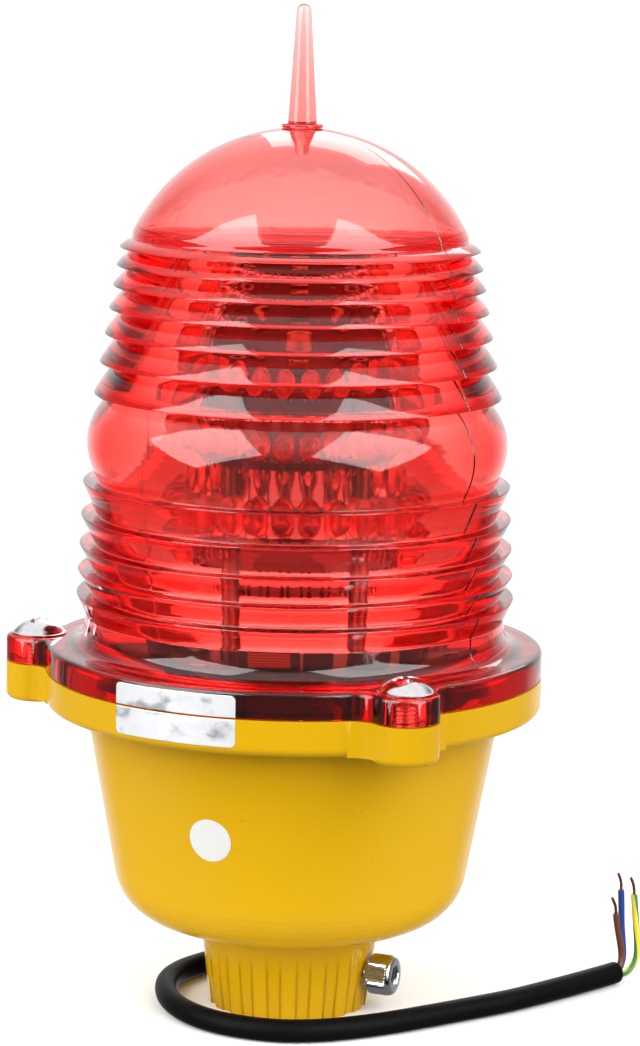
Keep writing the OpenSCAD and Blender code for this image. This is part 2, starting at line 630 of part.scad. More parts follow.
// Upright power transistor: moulded body with its metal tab behind
module power_transistor() color("black") translate([transistor_at.x, transistor_at.y, board_top_z]) difference() {
    union() {
        translate([-2.2, -5, 3]) cube([4.4, 10, 9]);
        translate([-2.2, -5, 3]) cube([1.3, 10, 15]);
        for (y = [-2.54, 0, 2.54]) translate([-0.4, y - 0.4, 0]) cube([0.8, 0.8, 3.5]);
    }
    translate([-5, 0, 15]) rotate([0, 90, 0]) cylinder(h = 10, r = 1.8);
}

module tower_posts() color("black") for (p = post_spots)
    translate([p.x, p.y, board_top_z]) cylinder(h = post_h, r = post_r);

module tower_spacers() color("black") for (p = post_spots, i = [0, 1])
    translate([p.x, p.y, tier_top_z(i)]) cylinder(h = tier_pitch - ring_board_t, r = post_r);

module tower_nuts() color("silver") for (p = post_spots) translate([p.x, p.y, tier_top_z(2)]) difference() {
    cylinder(h = nut_h, r = nut_w / sqrt(3), $fn = 6);
    translate([0, 0, -1]) cylinder(h = nut_h + 2, r = board_screw_r);
}

// Round boards of the tower: the top one has a hole for the leads' grommet
module ring_board(i) color("darkslategray") difference() {
    translate([0, 0, tier_z(i)]) cylinder(h = ring_board_t, r = ring_board_r);
    if (i == 2) translate([0, 0, tier_z(i) - 1]) cylinder(h = ring_board_t + 2, r = (grommet_r + grommet_hole_r) / 2);
}
module ring_board_1() ring_board(0);
module ring_board_2() ring_board(1);
module ring_board_3() ring_board(2);

module at_leds(i) {
    for (k = [0:led_count - 1]) rotate((k + 0.5) * 360 / led_count - 90)
        translate([led_seat_r, 0, tier_top_z(i) + led_lift]) children();
}

// Diodes that look outwards, each a rimmed body with a round tip
module led_ring(i) color("orangered") at_leds(i) rotate([0, 90, 0]) {
    cylinder(h = led_rim_t, r = led_rim_r);
    cylinder(h = led_len - led_r, r = led_r);
    translate([0, 0, led_len - led_r]) sphere(r = led_r);
}
module led_ring_1() led_ring(0);
module led_ring_2() led_ring(1);
module led_ring_3() led_ring(2);

// Bent legs of the diodes, soldered through the board
// Where they turn down off their holes, they run along the board to them
module led_legs(i) color("lightgray") at_leds(i) for (s = [-0.5, 0.5]) translate([0, s * leg_pitch - leg_w / 2, 0]) {
    hole_x = leg_circle_r - led_seat_r;
    translate([-leg_bend - leg_w / 2, 0, -leg_w / 2]) cube([leg_bend + leg_w / 2, leg_w, leg_w]);
    translate([-leg_bend - leg_w / 2, 0, -led_lift]) cube([leg_w, leg_w, led_lift + leg_w / 2]);
    translate([min(hole_x, -leg_bend) - leg_w / 2, 0, -led_lift])
        cube([abs(hole_x + leg_bend) + leg_w, leg_w, leg_w]);
    translate([hole_x - leg_w / 2, 0, -led_lift - ring_board_t - leg_tail])
        cube([leg_w, leg_w, leg_tail + ring_board_t + leg_w]);
}
module led_legs_1() led_legs(0);
module led_legs_2() led_legs(1);
module led_legs_3() led_legs(2);

// Resistor bodies lying on the top board
module ballast_resistors() color("bisque") for (a = [30:60:330]) rotate(a)
    translate([resistor_circle_r, 0, tier_top_z(2) + resistor_end_r]) rotate([90, 0, 0]) {
        translate([0, 0, (resistor_end_w - resistor_len) / 2]) cylinder(h = resistor_len - resistor_end_w, r = resistor_r);
        for (z = [-resistor_len / 2, resistor_len / 2 - resistor_end_w])
            translate([0, 0, z]) cylinder(h = resistor_end_w, r = resistor_end_r);
    }

// Rubber grommet, one lip on each face of the top board
module lead_grommet() color("black") translate([0, 0, tier_z(2)]) difference() {
    union() {
        translate([0, 0, -1]) cylinder(h = 1, r = grommet_r);
        cylinder(h = ring_board_t, r = (grommet_r + grommet_hole_r) / 2);
        translate([0, 0, ring_board_t]) cylinder(h = 1.2, r = grommet_r);
    }
    translate([0, 0, -2]) cylinder(h = ring_board_t + 5, r = grommet_hole_r);
}

module tower_lead(i) {
    p = tower_lead_spots[i];
    top = tier_z(0);
    bow = [0, tower_lead_bow, 0];
    tube(smooth([[p.x, p.y, board_top_z], [p.x, p.y, board_top_z + tower_lead_rise],
        [p.x, p.y, (board_top_z + top) / 2] + bow, [p.x, p.y, top - tower_lead_rise], [p.x, p.y, top]], 3), core_r, 8, [1, 0, 0]);
}
module tower_lead_red() color("firebrick") tower_lead(0);
module tower_lead_black() color("black") tower_lead(1);

module lead_brown() color("saddlebrown") tube(smooth(brown_lead, 3), core_r, 8, [1, 0, 0]);
module lead_blue() color("royalblue") tube(smooth(blue_lead, 3), core_r, 8, [0, 1, 0]);
module lead_earth() color("yellowgreen") tube(smooth(earth_lead, 3), core_r, 8, [1, 1, 0]);

// Screw and tag that bond the earth lead to the cup
module earth_screw() color("silver") translate([earth_at.x, earth_at.y, earth_boss_z]) {
    translate([0, 0, 1 - board_screw_len]) cylinder(h = board_screw_len, r = board_screw_r);
    cylinder(h = tag_t, r = board_screw_head_r + 1);
    rotate(123) translate([0, -tag_w / 2, 0]) cube([tag_l, tag_w, tag_t]);
    translate([0, 0, tag_t]) cylinder(h = board_screw_head_h, r = board_screw_head_r);
}

// Rubber elbow boot: a stem with two lips in the floor, then a tapered tail over the cable
module cable_boot() color("black") {
    translate([boot_at.x, boot_at.y, boot_elbow.z]) cylinder(h = lead_foot_z - boot_elbow.z, r = boot_stem_r);
    translate([boot_at.x, boot_at.y, boot_face_z - boot_lip_t]) cylinder(h = boot_lip_t, r = boot_lip_r);
    translate([boot_at.x, boot_at.y, boot_floor_z]) cylinder(h = boot_lip_t, r = boot_lip_r);
    translate(boot_elbow) sphere(r = boot_stem_r);
    translate(boot_elbow) rotate([0, -90 - boot_pitch, 0]) cylinder(h = boot_tail_l, r1 = boot_tail_r, r2 = boot_end_r);
}

module cable() color("#222222") tube(smooth(cable_route, 2), cable_r, 12);
module core_brown() color("saddlebrown") tube(smooth(brown_route, 3), core_r, 8, cable_side);
module core_blue() color("royalblue") tube(smooth(blue_route, 3), core_r, 8, cable_side);
module core_green_yellow() color("yellowgreen") tube(smooth(earth_route, 3), core_r, 8, cable_side);

// Bare strands beyond each core
module core_ends() color("peru") for (route = [brown_route, blue_route, earth_route]) {
    tip = route[len(route) - 1];
    way = along(route, len(route) - 1);
    tube([tip, tip + 3 * way, tip + 6 * way - 1.2 * cable_way], strand_r, 8, cable_side);
}

base_housing();
lens_gasket();
lens();
bird_spike();
cover_screw_1();
cover_screw_2();
cover_screw_3();
lock_screw();
driver_board();
board_screws();
transformer_core();
transformer_winding();
film_capacitors();
electrolytics();
power_transistor();
tower_posts();
tower_spacers();
tower_nuts();
ring_board_1();
ring_board_2();
ring_board_3();
led_ring_1();
led_ring_2();
led_ring_3();
led_legs_1();
led_legs_2();
led_legs_3();
ballast_resistors();
lead_grommet();
tower_lead_red();
tower_lead_black();
lead_brown();
lead_blue();
lead_earth();
earth_screw();
cable_boot();
cable();
core_brown();
core_blue();
core_green_yellow();
core_ends();
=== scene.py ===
# Aviation beacon lamp: red drum lens on a yellow cast cup, with its supply cable

import json
import math

import bpy
import numpy as np
from mathutils import Matrix, Vector

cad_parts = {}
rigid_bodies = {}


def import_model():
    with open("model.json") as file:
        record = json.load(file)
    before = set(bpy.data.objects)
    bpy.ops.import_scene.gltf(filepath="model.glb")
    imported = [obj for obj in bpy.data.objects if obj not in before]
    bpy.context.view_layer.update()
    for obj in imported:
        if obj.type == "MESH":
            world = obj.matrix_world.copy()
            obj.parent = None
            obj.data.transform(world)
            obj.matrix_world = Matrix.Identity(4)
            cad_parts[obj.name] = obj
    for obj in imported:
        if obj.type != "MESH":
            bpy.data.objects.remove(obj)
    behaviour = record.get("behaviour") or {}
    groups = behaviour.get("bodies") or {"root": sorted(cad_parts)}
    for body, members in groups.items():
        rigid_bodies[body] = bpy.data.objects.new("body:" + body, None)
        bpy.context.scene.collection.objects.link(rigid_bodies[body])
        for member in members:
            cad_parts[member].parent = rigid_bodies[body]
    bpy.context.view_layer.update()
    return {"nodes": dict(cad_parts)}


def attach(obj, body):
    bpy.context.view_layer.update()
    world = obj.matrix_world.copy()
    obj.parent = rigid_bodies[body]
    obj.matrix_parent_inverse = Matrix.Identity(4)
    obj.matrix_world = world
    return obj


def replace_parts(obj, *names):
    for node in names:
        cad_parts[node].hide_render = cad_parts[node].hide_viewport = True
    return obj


for leftover in list(bpy.data.objects):
    bpy.data.objects.remove(leftover)
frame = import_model()

# Camera: a long lens a little over a metre in front of the lamp and above it,
# tipped down on it and rolled by under a degree, with the lamp left of the middle of the frame.
# Light may bounce many times, because it goes through wall after wall of the red lens.
view_data = bpy.data.cameras.new("camera")
view_data.lens = 120.2
view_data.shift_x = 0.023
camera = bpy.data.objects.new("camera", view_data)
camera_spot, camera_tilt, camera_roll = (0, -1.1, 0.3357), math.radians(80.77), math.radians(0.93)
camera.matrix_world = (
    Matrix.Translation(camera_spot)
    @ Matrix.Rotation(camera_tilt, 4, "X")
    @ Matrix.Rotation(camera_roll, 4, "Z")
)
bpy.context.collection.objects.link(camera)
bpy.context.scene.camera = camera
bpy.context.scene.view_settings.view_transform = "Standard"
light_bounces = 40
for kind in ("max_bounces", "transmission_bounces", "glossy_bounces"):
    setattr(bpy.context.scene.cycles, kind, light_bounces)

# Supply cable: a round black sheath of soft plastic, drawn over three insulated cores.
# It comes out of the boot behind the socket, runs round the foot on the table and is cut off square.


class Value:
    """One value in a finish: a node's output that takes part in plain arithmetic."""

    def __init__(self, finish, socket):
        self.finish, self.socket = finish, socket

    def math(self, operation, first, second):
        return self.finish.node("ShaderNodeMath", {"operation": operation}, {0: first, 1: second})

    def __add__(self, other):
        return self.math("ADD", self, other)

    def __radd__(self, other):
        return self.math("ADD", other, self)

    def __sub__(self, other):
        return self.math("SUBTRACT", self, other)

    def __rsub__(self, other):
        return self.math("SUBTRACT", other, self)

    def __mul__(self, other):
        return self.math("MULTIPLY", self, other)

    def __rmul__(self, other):
        return self.math("MULTIPLY", other, self)

    def __truediv__(self, other):
        return self.math("DIVIDE", self, other)

    def __abs__(self):
        return self.math("ABSOLUTE", self, 0.0)

    def __gt__(self, other):
        return self.math("GREATER_THAN", self, other)

    def __lt__(self, other):
        return self.math("LESS_THAN", self, other)

    def zigzag(self, top):
        """Up from 0 to top and down again, over and over."""
        return self.math("PINGPONG", self, top)


class Finish:
    """A material made of nodes around one Principled shader."""

    def __init__(self, name, **plain):
        self.material = bpy.data.materials.new(name)
        self.material.use_nodes = True
        self.tree = self.material.node_tree
        self.shader = self.tree.nodes["Principled BSDF"]
        self.place = self.node("ShaderNodeTexCoord", out="Object")
        names = {key: key.replace("_", " ").title().replace("Ior", "IOR") for key in plain}
        self.shade(**{names[key]: value for key, value in plain.items()})

    def node(self, kind, settings=None, sockets=None, out=0):
        made = self.tree.nodes.new(kind)
        for key, value in (settings or {}).items():
            setattr(made, key, value)
        self.feed(made, sockets or {})
        return Value(self, made.outputs[out])

    def feed(self, node, sockets):
        for key, value in sockets.items():
            socket = node.inputs[key]
            if isinstance(value, Value):
                self.tree.links.new(value.socket, socket)
            elif socket.type == "RGBA":
                socket.default_value = (*value, 1)
            else:
                socket.default_value = value

    def shade(self, **sockets):
        self.feed(self.shader, sockets)

    def noise(self, scale, detail=3.0, stretch=(1, 1, 1)):
        """Soft random values around 0.5 with features of about 1/scale metres."""
        spot = self.node("ShaderNodeMapping", {}, {"Vector": self.place, "Scale": stretch})
        return self.node("ShaderNodeTexNoise", {}, {"Vector": spot, "Scale": scale, "Detail": detail})

    def split(self, vector, ways="XYZ"):
        """The named parts of a vector, one value each."""
        return [self.node("ShaderNodeSeparateXYZ", {}, {0: vector}, way) for way in ways]

    def ramp(self, value, low, high, start=0.0, end=1.0):
        """A value that goes softly from start to end while another goes from low to high."""
        return self.node("ShaderNodeMapRange", {"interpolation_type": "SMOOTHSTEP"}, {
            "Value": value, "From Min": low, "From Max": high, "To Min": start, "To Max": end})

    def mix(self, share, first, second):
        return self.node("ShaderNodeMix", {"data_type": "RGBA"}, {0: share, 6: first, 7: second}, 2)

    def bump(self, height, depth, strength=1.0):
        """Bumps of that depth in metres, put on the shader's normal."""
        made = self.node("ShaderNodeBump", {}, {"Height": height, "Distance": depth, "Strength": strength})
        self.shade(Normal=made)


def tone(red, green, blue):
    """A colour as it shows on a screen, 0 to 255, as the shader's linear light."""
    parts = [c / 255 for c in (red, green, blue)]
    return tuple(c / 12.92 if c <= 0.04045 else ((c + 0.055) / 1.055) ** 2.4 for c in parts)


def smooth(route, steps):
    """Points of one smooth curve through the route's own points."""
    route = [np.array(p, float) for p in route]
    line = []
    for i in range(len(route) - 1):
        a, b, c, d = route[max(i - 1, 0)], route[i], route[i + 1], route[min(i + 2, len(route) - 1)]
        for t in np.arange(steps) / steps:
            line.append(b + 0.5 * t * (c - a + t * (2 * a - 5 * b + 4 * c - d + t * (3 * b - a - 3 * c + d))))
    return np.array([*line, route[-1]])


def round_steps(sides):
    """The angles of equal steps once round a circle."""
    return np.arange(sides) * 2 * math.pi / sides


def sections(line, radius, sides, side=(0, 0, 1)):
    """Rings of points across a line, carried along it without twist."""
    rings, across = [], np.array(side, float)
    turn = round_steps(sides)
    for i, point in enumerate(line):
        along = line[min(i + 1, len(line) - 1)] - line[max(i - 1, 0)]
        along /= np.linalg.norm(along)
        across = across - along * (across @ along)
        across /= np.linalg.norm(across)
        other = np.cross(along, across)
        rings.append(point + radius * (np.outer(np.cos(turn), across) + np.outer(np.sin(turn), other)))
    return np.array(rings)


def loft(rings, closed=False, first=0):
    """Points and faces of a skin over rings of equal count, each ring turning left about the way it goes."""
    count, sides = len(rings), len(rings[0])
    faces = []
    for i in range(count if closed else count - 1):
        low, top = first + i * sides, first + (i + 1) % count * sides
        faces += [(low + j, low + (j + 1) % sides, top + (j + 1) % sides, top + j) for j in range(sides)]
    if not closed:
        last = first + (count - 1) * sides
        faces += [tuple(range(first + sides - 1, first - 1, -1)), tuple(range(last, last + sides))]
    return np.concatenate(rings), faces


def solid(name, points, faces, finish, sharp=30):
    """A piece from points in millimetres, smooth but for the edges sharper than that many degrees."""
    mesh = bpy.data.meshes.new(name)
    mesh.from_pydata((np.asarray(points) * 0.001).tolist(), [], faces)
    mesh.update()
    mesh.shade_smooth()
    mesh.set_sharp_from_angle(angle=math.radians(sharp))
    mesh.materials.append(finish.material)
    piece = bpy.data.objects.new(name, mesh)
    bpy.context.collection.objects.link(piece)
    return piece


sheath = Finish("cable_sheath", specular_ior_level=0.045)
grain = sheath.noise(900, 4)
scuffs = sheath.noise(60, 5)
sheath.shade(**{
    "Base Color": sheath.mix(scuffs, tone(8, 8, 8), tone(13, 12, 12)),
    "Roughness": 0.34 + 0.16 * scuffs,
})
sheath.bump(grain, 0.00006)

cable_r, boot_run, boot_dip = 3.6, 26, math.radians(15)
boot_elbow = np.array([16, 33, 15.0])
boot_way = np.array([-math.cos(boot_dip), 0, -math.sin(boot_dip)])
cable_route = [
    boot_elbow + boot_run * boot_way, [-18.6, 31.4, 4.9], [-28, 25.8, 3.9], [-35, 17.5, 3.7], [-39, 7.5, 3.7],
    [-39.8, -3.5, 3.7], [-38, -15.5, 3.7], [-33.4, -26.5, 3.7], [-26, -36, 3.7], [-16, -43, 3.7],
    [-4, -47, 3.7], [8, -46.6, 3.7], [20, -42.8, 3.7], [32, -37, 3.7], [45, -29, 3.7],
    [58, -20.5, 3.7], [72, -10.8, 3.7], [86, 1.2, 3.7], [99.5, 13.6, 3.7], [108.4, 22.4, 3.7],
]
cable_line = smooth(cable_route, 6)
cable_rings = sections(cable_line, cable_r, 32)
cable = solid("cable_run", *loft(cable_rings), sheath, 40)
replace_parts(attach(cable, "base"), "cable")

# Cores: brown, blue and striped green and yellow plastic over stranded copper.
# They spread and stand up beyond the sheath's cut end, and the last few millimetres are stripped.
cable_end = np.array(cable_route[-1])
cable_way, cable_side = np.array([0.711, 0.703, 0]), np.array([-0.703, 0.711, 0])


def from_cut(points):
    """Points told along the cable, across it and up from the middle of its cut end."""
    return [cable_end + a * cable_way + b * cable_side + np.array([0, 0, c]) for a, b, c in points]


def lengthwise(piece, rings):
    """A UV map along and around a lofted tube: u in metres along it, v once round it."""
    sides = len(rings[0])
    run = np.concatenate([[0], np.cumsum(np.linalg.norm(np.diff(rings.mean(1), axis=0), axis=1))]) * 0.001
    layer = piece.data.uv_layers.new(name="UVMap")
    for face in piece.data.polygons:
        spots = [piece.data.loops[k].vertex_index for k in face.loop_indices]
        seam = {v % sides for v in spots} == {0, sides - 1} and len(spots) == 4
        for k, v in zip(face.loop_indices, spots):
            around = 1.0 if seam and v % sides == 0 else v % sides / sides
            layer.data[k].uv = (run[v // sides % len(run)], around)


def core_finish(name, colour, stripe=None):
    """Insulation with a soft gloss, and two stripes that wind slowly along it if the core has two colours."""
    finish = Finish(name, specular_ior_level=0.45)
    cloud = finish.noise(500, 3)
    shade = finish.mix(cloud, colour, tuple(0.8 * c for c in colour))
    if stripe:
        turns_in_a_metre, gap = 16.0, 0.1
        along, around = finish.split(finish.node("ShaderNodeTexCoord", out="UV"), "XY")
        band = (around + turns_in_a_metre * along).zigzag(0.25) > gap
        shade = finish.mix(band, shade, stripe)
    finish.shade(**{"Base Color": shade, "Roughness": 0.3 + 0.15 * cloud})
    finish.bump(cloud, 0.00004)
    return finish


def mottled(name, noise, tones, rough, bumps=0.0, **plain):
    """A finish that wanders between two tones, with its least and added roughness, and bumps in metres."""
    finish = Finish(name, **plain)
    cloud = finish.noise(*noise)
    finish.shade(**{
        "Base Color": finish.mix(cloud, *(tone(*t) for t in tones)),
        "Roughness": rough[0] + rough[1] * cloud,
    })
    if bumps:
        finish.bump(cloud, bumps)
    return finish


def lofts(skins):
    """Points and faces of several lofted skins taken as one."""
    points, faces = [], []
    for rings in skins:
        more, skin = loft(rings, first=sum(map(len, points)))
        points.append(more)
        faces += skin
    return np.concatenate(points), faces


copper = mottled("copper", (1400, 4), ((214, 140, 92), (150, 84, 48)), (0.22, 0.25), metallic=1.0)

core_r = 1.1
strand_count, strand_r, middle_r, lay_r, lay_steps = 6, 0.19, 0.2, 0.36, 3
cores = {
    "core_brown": (core_finish("core_brown", tone(96, 52, 34)), [
        (0, 0, 1.3), (2, 0, 1.6), (3.4, 0.2, 3.6), (3.4, 0.4, 7),
        (2.4, 0.4, 11), (1, 0.4, 16), (0.2, 0.4, 20)]),
    "core_blue": (core_finish("core_blue", tone(30, 58, 136)), [
        (0, 1.2, -0.7), (2, 1.2, -0.6), (4.6, 1.5, 0.8), (6.2, 1.8, 4.4),
        (6, 2, 9), (5.4, 2.2, 15), (5, 2.2, 22), (4.6, 2.2, 27)]),
    "core_green_yellow": (core_finish("core_green_yellow", tone(40, 122, 80), tone(206, 186, 44)), [
        (0, -1.2, -0.7), (2.4, -1.3, -0.8), (5.6, -1.6, 0), (8, -2, 3),
        (8.6, -2.2, 7), (8, -2.2, 13), (7.2, -2, 20), (6.6, -1.8, 26)]),
}
strand_rings = []
for name, (finish, route) in cores.items():
    line = smooth(from_cut(route), 6)
    rings = sections(line, core_r, 16, cable_side)
    core = solid(f"{name}_wire", *loft(rings), finish, 40)
    lengthwise(core, rings)
    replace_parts(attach(core, "base"), name)
    way = (line[-1] - line[-2]) / np.linalg.norm(line[-1] - line[-2])
    stem = smooth([line[-1] - 0.2 * way, line[-1] + 3 * way, line[-1] + 6 * way - 1.2 * cable_way], 8)
    lay = sections(stem, lay_r, strand_count, cable_side)
    for k in range(strand_count):
        twist = []
        for i, ring in enumerate(lay):
            at, share = k + i // lay_steps, i % lay_steps / lay_steps
            twist.append(ring[at % strand_count] * (1 - share) + ring[(at + 1) % strand_count] * share)
        strand_rings.append(sections(np.array(twist), strand_r, 7, cable_side))
    strand_rings.append(sections(stem, middle_r, 7, cable_side))
strands = solid("copper_strands", *lofts(strand_rings), copper, 50)
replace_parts(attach(strands, "base"), "core_ends")

# Housing: a cup, fluted pipe socket, flange and screw ears cast in one piece of aluminium.
# It is sprayed with glossy yellow enamel, which flows a little, and painted shade darkens its colour along
# the edges of the flutes.


def dress(node, finish):
    """Puts a finish on a CAD node that keeps its own solid."""
    piece = frame["nodes"][node]
    piece.data.materials.clear()
    piece.data.materials.append(finish.material)


enamel = Finish("yellow_enamel", specular_ior_level=0.2)
flow = enamel.noise(160, 2)
patches = enamel.noise(22, 4)
specks = enamel.noise(1500, 1)
flute_count, flute_fade_z, flute_top_z = 18, 0.014, 0.0225
rib_share, flank_share, edge_share = 0.23, 0.1, 0.04
x, y, z = enamel.split(enamel.place)
from_rib = (x.math("ARCTAN2", x, 0 - y) * (flute_count / (2 * math.pi))).zigzag(0.5)
in_flute = from_rib - rib_share
deep = enamel.ramp(z, flute_fade_z, flute_top_z, 1.0, 0.0)
hollow = deep * enamel.ramp(in_flute, 0.0, flank_share)
# Painted shade: a darker line along the edge of each flute, mixed into the enamel's colour below.
flute_edge_shade = deep * enamel.ramp(abs(in_flute - edge_share), 0.0, flank_share, 1.0, 0.0)
coat = enamel.mix(patches, tone(194, 150, 9), tone(190, 146, 9))
coat = enamel.mix(0.4 * flute_edge_shade, coat, tone(150, 100, 6))
enamel.shade(**{
    "Base Color": enamel.mix(specks > 0.77, coat, tone(150, 105, 8)),
    "Roughness": 0.2 + 0.06 * patches,
})
enamel.bump(0.04 * flow - 0.6 * hollow, 0.001)
dress("base_housing", enamel)

# Lens gasket: a flat ring of black sponge rubber that keeps the rain out.
# It is pressed into the groove of the cup's rim, under the lens.
rubber = Finish("black_rubber", specular_ior_level=0.3)
pores = rubber.noise(1800, 3)
bloom = rubber.noise(80, 4)
rubber.shade(**{
    "Base Color": rubber.mix(bloom, tone(20, 20, 21), tone(48, 47, 46)),
    "Roughness": 0.55 + 0.25 * pores,
})
rubber.bump(pores, 0.00008)
dress("lens_gasket", rubber)

# Cable boot: an elbow of the same black rubber, with a lip on each side of the cup's floor.
# It is pushed through the floor behind the socket, and its tapered tail grips the cable.
dress("cable_boot", rubber)

# Lead grommet: a small ring of cream rubber that lines the hole in the middle of the top board.
# It is pressed in, with one lip on each face of the board.
cream = mottled("cream_rubber", (900, 3), ((222, 200, 160), (200, 176, 134)), (0.5, 0.2), 0.00005,
                specular_ior_level=0.35)
dress("lead_grommet", cream)

# Boards: round glass laminate with printed copper lines under a glossy solder mask.
# The driver board is green and screwed to the cast posts, the three ring boards are nearly black.


def board_finish(name, mask, line):
    """Solder mask that shows a grid of the copper lines under it."""
    finish = Finish(name, coat_weight=0.4, coat_roughness=0.15)
    cloud = finish.noise(300, 3)
    cells = finish.node("ShaderNodeTexBrick", {"offset": 0.35}, {
        "Vector": finish.place, "Scale": 130.0, "Mortar Size": 0.012,
        "Color1": (1, 1, 1), "Color2": (1, 1, 1), "Mortar": (0, 0, 0)}, "Fac")
    shade = finish.mix(cells, finish.mix(cloud, mask, tuple(0.7 * c for c in mask)), line)
    finish.shade(**{"Base Color": shade, "Roughness": 0.28 + 0.2 * cloud})
    finish.bump(1 - cells, 0.00005)
    return finish


dress("driver_board", board_finish("board_green", tone(34, 92, 58), tone(80, 132, 84)))
dark_board = board_finish("board_dark", tone(38, 34, 28), tone(74, 60, 44))
for i in (1, 2, 3):
    dress(f"ring_board_{i}", dark_board)

# Driver parts: a ferrite transformer with a taped winding, film and electrolytic capacitors and a transistor.
# All of them stand on the driver board, soldered through it.
ferrite = mottled("ferrite", (1200, 4), ((52, 50, 50), (84, 80, 78)), (0.6, 0.3), 0.0001,
                  specular_ior_level=0.3)
dress("transformer_core", ferrite)

tape = Finish("winding_tape", coat_weight=0.5, coat_roughness=0.1)
turns = tape.node("ShaderNodeTexWave", {"bands_direction": "Z"}, {
    "Vector": tape.place, "Scale": 260.0, "Distortion": 0.6})
tape.shade(**{
    "Base Color": tape.mix(turns, tone(196, 120, 40), tone(150, 82, 24)),
    "Roughness": 0.3 + 0.1 * turns,
})
tape.bump(turns, 0.0001)
dress("transformer_winding", tape)

box_plastic = mottled("black_plastic", (2200, 3), ((18, 18, 19), (34, 34, 35)), (0.35, 0.2), 0.00005,
                      specular_ior_level=0.45)
for node in ("film_capacitors", "power_transistor"):
    dress(node, box_plastic)

sleeve = mottled("can_sleeve", (220, 3, (1, 1, 0.3)), ((54, 40, 36), (30, 24, 24)), (0.25, 0.15), 0.0001,
                 coat_weight=0.3, coat_roughness=0.1)
dress("electrolytics", sleeve)

# Small fasteners inside: pan-head board screws, tower nuts and the earth screw with its tag.
# They are cold-formed steel with a bright zinc plate, and hold the boards and the earth lead.
zinc = mottled("zinc_plate", (700, 4), ((206, 206, 204), (150, 150, 146)), (0.22, 0.25), 0.00004,
               metallic=1.0)
for node in ("board_screws", "tower_nuts", "earth_screw"):
    dress(node, zinc)

# Tower posts and the spacers between the boards: turned brass rods with a dull nickel plate.
# Four posts stand on the driver board, and the nuts on the top board hold the stack together.
nickel = mottled("nickel_posts", (900, 3, (1, 1, 6)), ((150, 138, 120), (112, 100, 84)), (0.3, 0.2), 0.00004,
                 metallic=1.0)
for node in ("tower_posts", "tower_spacers"):
    dress(node, nickel)

# Leads inside: thin stranded wires with plastic insulation, soldered at both ends.
# They run from the cable to the driver board and the earth screw, and from the board up to the tower.
tower_rise = [(18.5, 114.2), (18.5, 120.2), (23.5, 138.95), (18.5, 157.7), (18.5, 163.7)]
inner_leads = {
    "lead_brown": (cores["core_brown"][0], [
        (13, 33, 39), (13, 33.4, 51), (14, 34, 65), (15, 34, 88), (15, 34, 112.6)]),
    "lead_blue": (cores["core_blue"][0], [
        (16.4, 35.4, 39), (17.2, 35.4, 51), (20, 35, 65), (23, 34.2, 88), (24, 34, 112.6)]),
    "lead_earth": (cores["core_green_yellow"][0], [
        (18.4, 31.4, 39), (19, 31, 44), (23, 27, 48), (31, 19, 46), (37, 12.6, 43.6)]),
    "tower_lead_red": (core_finish("lead_red", tone(190, 30, 26)), [(18.6, *spot) for spot in tower_rise]),
    "tower_lead_black": (core_finish("lead_black", tone(24, 24, 25)), [(22.2, *spot) for spot in tower_rise]),
}
for name, (finish, route) in inner_leads.items():
    rings = sections(smooth(route, 6), core_r, 14, (1, 0, 0))
    lead = solid(f"{name}_wire", *loft(rings), finish, 40)
    lengthwise(lead, rings)
    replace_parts(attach(lead, "base"), name)

# Diode rings: rimmed epoxy bodies with round tips, 28 to a ring, looking outwards over the board's edge.
# Each stands on two tinned legs, which bend down through the board into a cone of solder.
ring_count, ring_pitch, seat_r, lift, low_board_top = 28, 15.0, 34.2, 4.2, 165.3
board_tops = [low_board_top + ring_pitch * i for i in range(3)]
ring_turn = 180 / ring_count - 90
pole_r = 0.001


def spun(profile, sides, axis="Z"):
    """Rings of a turned shape from its profile of (radius, height) points."""
    turn = round_steps(sides)
    rings = np.array([[(r * math.cos(a), r * math.sin(a), z) for a in turn] for r, z in profile])
    return rings if axis == "Z" else rings[:, :, [2, 0, 1]]


